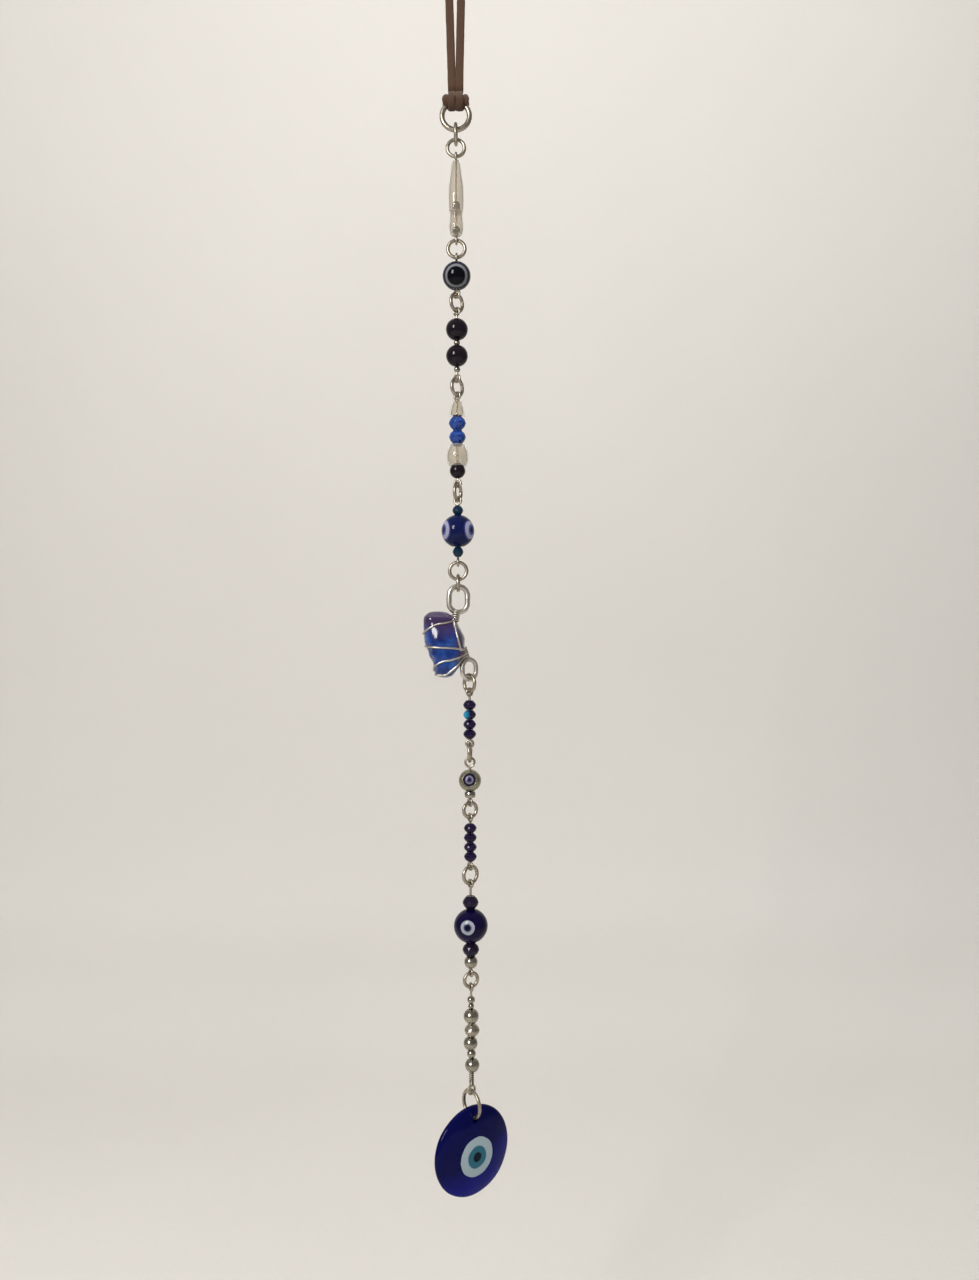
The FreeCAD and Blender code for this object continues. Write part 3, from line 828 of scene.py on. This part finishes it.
# ---- glass nugget and its wires -----------------------------------------
# sections from top to bottom in mm: height, middle, half width, half depth
NUGGET_SECTIONS = [(-181.3, -5.6, 3.6, 2.2), (-183.6, -5.0, 4.6, 3.4), (-189.0, -3.8, 5.4, 4.8),
                   (-192.6, -3.2, 4.9, 4.2), (-195.2, -3.1, 3.8, 3.8), (-198.4, -3.7, 2.7, 2.8),
                   (-199.0, -3.8, 2.2, 2.2)]
# turns of thin wire in mm: height in front, at the left, at the back and at the right
WRAP_TURNS = [(-184.6, -187.3, -186.0, -183.4), (-191.0, -190.6, -191.6, -191.8),
              (-194.5, -197.2, -195.0, -192.6), (-198.4, -198.2, -196.4, -193.0)]
WRAP_R = 0.26 * MM
CLEAR = 12 * MM                  # farther out than any part of the nugget
RIB_TOP = Vector((-1.3, 0, -183.2)) * MM
RIB_LOW = Vector((0.8, 0, -191.9)) * MM
# the coils that tie the two big loops to the cage, in mm, each from the loop down or up to the glass
TIES = [((-0.5, 0, -181.3), (-0.8, -0.9, -184.0)), ((2.2, 0, -194.0), (1.3, -0.9, -191.2))]
TIE_R = 0.78 * MM
# the loops in mm: sideways place, end radius, straight side, wire radius, and turn in degrees
BIG_LOOPS = {"nugget_top_loop": (0.0, 2.5, 2.0, 0.72, 12), "nugget_low_loop": (2.9, 2.3, 0.8, 0.64, 38)}


def nugget_at(z):
    """Middle, half width and half depth of the nugget at a height, all in mm."""
    for upper, lower in zip(NUGGET_SECTIONS, NUGGET_SECTIONS[1:]):
        if upper[0] >= z >= lower[0]:
            share = eased((upper[0] - z) / (upper[0] - lower[0]))
            return [a + (b - a) * share for a, b in zip(upper[1:], lower[1:])]
    return NUGGET_SECTIONS[0 if z > NUGGET_SECTIONS[0][0] else -1][1:]


def make_nugget():
    """A tumbled lump: soft-cornered sections that round off at both ends, with hollows and bumps."""
    top, bottom = NUGGET_SECTIONS[0][0], NUGGET_SECTIONS[-1][0]
    around = 64
    rows = 57
    points = []
    for row in range(rows):
        angle = math.pi * row / (rows - 1)
        z = top + (bottom - top) * (0.5 - 0.5 * squared(math.cos(angle), 0.8))
        middle, width, depth = nugget_at(z)
        close = min(1.0, math.sin(angle) * 1.7 + 0.004) ** 0.5
        for across, back in circle(1.0, around):
            points.append(Vector((middle + width * squared(across, 0.72) * close,
                                  depth * squared(back, 0.72) * close, z)) * MM)
    # the rows run downwards, so the caps are turned over to match them
    caps = [cap[::-1] for cap in end_faces(rows, around)]
    faces = loop_faces(rows, around, False) + caps
    points = roughened(points, 0.4 * MM, 140)
    points = roughened(points, 0.1 * MM, 520)
    nugget = new_mesh("nugget_lump", points, faces)
    material = nugget_material("nugget_glass")
    return finish_piece(nugget, "wrapped_nugget", "nugget_blue_glass", material, "nugget_glass")


def wrap_line(tree, heights):
    """A closed line of thin wire pulled tight round the nugget, through its four side heights."""
    front, left, back, right = heights
    corners = [right, front, left, back]
    line = []
    count = 72
    for step in range(count):
        place = step / count * 4
        index = int(place)
        z = corners[index] + (corners[(index + 1) % 4] - corners[index]) * eased(place - index)
        angle = -2 * math.pi * step / count
        outward = Vector((math.cos(angle), math.sin(angle), 0))
        start = Vector((nugget_at(z)[0], 0, z)) * MM + outward * CLEAR
        hit = tree.ray_cast(start, -outward)[0]
        line.append(hit + outward * WRAP_R * 0.8)
    # relax the line where it would dip into a hollow
    inside = Vector((sum(spot.x for spot in line), sum(spot.y for spot in line))) / count
    for _ in range(3):
        relaxed = [(line[k - 1] + line[k] * 2 + line[(k + 1) % count]) / 4 for k in range(count)]
        line = [max(pair, key=lambda spot: (spot.xy - inside).length) for pair in zip(line, relaxed)]
    return line


def rib_line(tree):
    """The wire that runs down the front from the upper hub to the lower one, lying on the glass."""
    line = []
    for k in range(25):
        place = RIB_TOP.lerp(RIB_LOW, k / 24)
        hit = tree.ray_cast(place - Vector((0, CLEAR, 0)), Vector((0, 1, 0)))[0]
        front = hit.y - WRAP_R * 0.8 if hit else -1.0 * MM
        line.append(Vector((place.x, front, place.z)))
    for _ in range(6):
        line[1:-1] = [(line[k - 1] + line[k] * 2 + line[k + 1]) / 4 for k in range(1, len(line) - 1)]
    return line


def coil(start, end, radius, turns, wire):
    """A tight helix of wire from start to end; wire is its section."""
    along = end - start
    side = along.cross(Vector((0, 1, 0))).normalized()
    depth = along.normalized().cross(side)
    steps = int(turns * 20)
    line = []
    for k in range(steps + 1):
        angle = 2 * math.pi * turns * k / steps
        offset = side * math.cos(angle) + depth * math.sin(angle)
        line.append(start + along * (k / steps) + offset * radius)
    return sweep(line, wire)


def make_cage(nugget):
    """The cage of thin wire, its front rib, and the coils that hold the two big loops."""
    tree = BVHTree.FromPolygons([vertex.co for vertex in nugget.data.vertices],
                                [tuple(face.vertices) for face in nugget.data.polygons])
    wire = circle(WRAP_R, 12)
    parts = [sweep(wrap_line(tree, heights), wire, closed=True) for heights in WRAP_TURNS]
    parts.append(sweep(rib_line(tree), wire))
    for start, end in TIES:
        parts.append(coil(Vector(start) * MM, Vector(end) * MM, TIE_R, 4.5, circle(WRAP_R * 1.05, 12)))
    finish_piece(joined("nugget_cage", parts), "wrapped_nugget", "nugget_wire_metal", LOOP_WIRE,
                 "nugget_wrap_wire")


def make_big_loops():
    """The two oval loops of thick wire, bent by hand and so not quite even."""
    for node, (x, radius, side, wire_r, turn) in BIG_LOOPS.items():
        top = Vector((x * MM, 0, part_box(node)[1].z - wire_r * MM))
        sideways = Vector((math.cos(math.radians(turn)), math.sin(math.radians(turn)), 0))
        line = []
        for across, rise in circle(1.0, 120):
            straight = min(1.0, max(0.0, 0.5 - 2.5 * rise))
            drop = Vector((0, 0, radius * (1 - rise) + side * straight))
            line.append(top + (sideways * radius * across - drop) * MM)
        line = roughened(line, 0.09 * MM, 330)
        points, faces = sweep(line, circle(wire_r * MM, 18), closed=True)
        piece = new_mesh(node + "_wire", roughened(points, 0.04 * MM, 900), faces)
        finish_piece(piece, "wrapped_nugget", "nugget_wire_metal", LOOP_WIRE, node)


BAIL_LOOP = 2.75 * MM            # height of the loop under the winding
BAIL_R = 0.5 * MM
BAIL_WIRE_R = 0.2 * MM


def make_bail():
    """Fine wire wound round the long stem above the disc ring."""
    x = middle_of("disc_ring").x
    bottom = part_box("silver_bead_pin")[0].z + BAIL_LOOP
    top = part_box("silver_balls")[0].z - 0.05 * MM
    winding = coil(Vector((x, 0, bottom)), Vector((x, 0, top)), BAIL_R, 6, circle(BAIL_WIRE_R, 10))
    finish_piece(new_mesh("bail_winding", *winding), "silver_bead_pin", "pin_wire", BRIGHT)


# ---- painted glass beads ------------------------------------------------
def eyes_round(bearings, rise, rings):
    """The same eye at several bearings, in degrees to the right of the front."""
    turns = [math.radians(bearing) for bearing in bearings]
    return [((math.sin(turn), -math.cos(turn), rise), rings) for turn in turns]


def make_eye_bead(node, slot, eyes, dark, light, reach, wobble):
    """A glass ball with eyes melted into it."""
    glass = painted_eyes(slot, bead_centre(node), eyes, dark, light, reach, wobble=wobble)
    make_balls(node, node, slot, glass)


def make_eye_beads():
    rings = [(2.4, (0.002, 0.002, 0.004)), (3.0, (0.15, 0.155, 0.165)), (3.15, (0.02, 0.022, 0.04))]
    make_eye_bead("eye_bead", "eye_bead_glass", eyes_round([0], -0.33, rings),
                  (0.003, 0.003, 0.008), (0.008, 0.010, 0.025), 3.9, 0.3)
    rings = [(0.9, (0.006, 0.008, 0.04)), (1.5, (0.05, 0.06, 0.2)), (2.45, (0.26, 0.26, 0.36)),
             (2.8, (0.03, 0.035, 0.13))]
    make_eye_bead("lampwork_bead", "lampwork_glass", eyes_round([62, -64, 178], 0.03, rings),
                  (0.002, 0.003, 0.02), (0.005, 0.010, 0.07), 3.4, 0.5)
    rings = [(0.8, (0.004, 0.004, 0.014)), (1.1, (0.06, 0.07, 0.13)), (1.9, (0.25, 0.27, 0.31))]
    make_eye_bead("lower_eye_bead", "lower_eye_glass", eyes_round([-10, 112, -130], 0.14, rings),
                  (0.0015, 0.001, 0.010), (0.005, 0.0025, 0.035), 2.8, 0.35)


# ---- cut beads and plain ones -------------------------------------------
def make_crystals():
    tints = [(0.003, 0.009, 0.07), (0.010, 0.034, 0.21), (0.026, 0.085, 0.36), (0.005, 0.014, 0.10)]
    blue = cut_glass("blue_crystal", tints, through=0.25)
    for node in ("blue_crystal_1", "blue_crystal_2"):
        make_cut_beads(node, node, "blue_crystal_glass", blue)
    tints = [(0.002, 0.0015, 0.006), (0.010, 0.004, 0.026), (0.004, 0.0025, 0.012), (0.016, 0.006, 0.04),
             (0.003, 0.008, 0.024)]
    # the second rondelle shines turquoise on its left
    bottom, top, x, radius = solids_of("rondelles_1")[1]
    gleam = ((x - radius * 0.75, -radius * 0.5, (bottom + top) / 2), (0.015, 0.24, 0.42))
    shifting = cut_glass("iridescent_crystal", tints, gleam=gleam)
    for node in ("rondelles_1", "rondelles_2"):
        make_cut_beads(node, node, "iridescent_crystal", shifting)
    dark = cut_glass("dark_crystal", [(0.003, 0.0025, 0.008), (0.012, 0.008, 0.024), (0.006, 0.004, 0.013)])
    make_cut_beads("dark_crystals", "lower_eye_pin", "dark_crystal_glass", dark)
    make_cut_beads("teal_beads", "lampwork_pin", "teal_glass", TEAL_GLASS, facets=12)
    make_cut_beads("silver_rondelle", "silver_bead_pin", "silver_bead_metal", SILVER, facets=18)


def make_plain_beads():
    for node, body in (("black_bead_1", "black_bead_1"), ("black_bead_2", "black_bead_2"),
                       ("nested_black_bead", "crystal_pin")):
        make_balls(node, body, "black_glass", BLACK_GLASS)
    # the two balls in the drops get the darker silver, with their shade painted into its colour
    for node in ("silver_ball_1", "silver_ball_2"):
        make_balls(node, "drop_pin", "silver_bead_metal", SHADED_SILVER)
    for node, body in (("black_bead_collars", "black_bead_pin"), ("bezel_collar", "bezel_pin"),
                       ("silver_ball_3", "lower_eye_pin"), ("silver_seed", "silver_bead_pin"),
                       ("silver_collars", "silver_bead_pin"), ("silver_balls", "silver_bead_pin")):
        make_balls(node, body, "silver_bead_metal", BRIGHT)


# ---- rings and pins keep their CAD shapes -------------------------------
def paint_wire():
    """Metal for the nodes that no piece replaces."""
    for name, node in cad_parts.items():
        if "_pin" in name:
            paint = PIN_WIRE
        elif "ring" in name:
            paint = RING_WIRE
        else:
            continue
        node.data.materials.clear()
        node.data.materials.append(paint)


# ---- room ---------------------------------------------------------------
FLOOR_Z = -0.42
WALL_Y = 0.45
ROOM_HALF = 3.0          # half the width of the floor, and how far it comes forward
COOL_WHITE = (0.97, 0.98, 1.0)
WARM_WHITE = (1.0, 0.98, 0.95)


def make_backdrop():
    """A pale floor that curves up into a wall."""
    shader = Shader("pale_wall", Roughness=0.9)
    shader.colour(shader.mix(shader.noise(3, 3), (0.62, 0.60, 0.57), (0.68, 0.66, 0.63)))
    shader.bump(shader.noise(600, 3), 0.0003, 0.4)
    profile = [(-ROOM_HALF, FLOOR_Z), (-1.2, FLOOR_Z), (0, FLOOR_Z), (WALL_Y - 0.12, FLOOR_Z + 0.015),
               (WALL_Y, FLOOR_Z + 0.14), (WALL_Y + 0.01, 0.2), (WALL_Y + 0.01, 1.0)]
    line = smooth_line([Vector((0, y, z)) for y, z in profile], 60)
    points = [(side * ROOM_HALF, place.y, place.z) for place in line for side in (-1, 1)]
    faces = [(2 * k, 2 * k + 1, 2 * k + 3, 2 * k + 2) for k in range(len(line) - 1)]
    backdrop = new_mesh("backdrop", points, faces)
    backdrop.data.materials.append(shader.material)


def area_light(name, place, aim, size, power, colour):
    data = bpy.data.lights.new(name, "AREA")
    data.shape = "RECTANGLE"
    data.size, data.size_y = size
    data.energy = power
    data.color = colour
    light = bpy.data.objects.new(name, data)
    bpy.context.scene.collection.objects.link(light)
    light.location = place
    light.rotation_euler = (Vector(aim) - Vector(place)).to_track_quat("-Z", "Y").to_euler()
    return light


def make_lights():
    """A small bright window for the gleams; the larger soft lights don't show in the gloss."""
    area_light("window", place=(-0.32, -0.50, 0.07), aim=(0, 0, -0.19), size=(0.15, 0.28), power=3.8,
               colour=WARM_WHITE)
    fill = area_light("fill", place=(0.5, -0.5, -0.05), aim=(0, 0, -0.2), size=(0.6, 0.8), power=1.6,
                      colour=COOL_WHITE)
    wash = area_light("wall_wash", place=(0, -0.1, 0.6), aim=(0, WALL_Y, -0.15), size=(1.0, 0.4), power=4.8,
                      colour=WARM_WHITE)
    for light in (fill, wash):
        light.visible_glossy = False


def make_world():
    """Soft light from above and behind; the front of the room is dimmer, so that metal has contrast."""
    world = bpy.data.worlds.new("soft_room")
    world.use_nodes = True
    tree = world.node_tree
    sky = tree.nodes["Background"]
    place = tree.nodes.new("ShaderNodeTexCoord")
    aim = tree.nodes.new("ShaderNodeVectorMath")
    aim.operation = "DOT_PRODUCT"
    aim.inputs[1].default_value = (-0.25, 0.75, 0.6)
    ramp = tree.nodes.new("ShaderNodeValToRGB")
    ramp.color_ramp.interpolation = "EASE"
    tree.links.new(place.outputs["Generated"], aim.inputs[0])
    tree.links.new(aim.outputs["Value"], ramp.inputs["Fac"])
    dim, bright = ramp.color_ramp.elements
    dim.position = 0.0
    dim.color = (0.50, 0.485, 0.465, 1.0)
    bright.position = 0.75
    bright.color = (0.85, 0.84, 0.82, 1.0)
    tree.links.new(ramp.outputs["Color"], sky.inputs["Color"])
    sky.inputs["Strength"].default_value = 0.5
    bpy.context.scene.world = world


make_camera()
make_cord(make_knot())
make_plain_beads()
make_eye_beads()
make_crystals()
make_drops()
make_bezel()
make_cage(make_nugget())
make_big_loops()
make_bail()
make_disc()
paint_wire()
make_backdrop()
make_lights()
make_world()
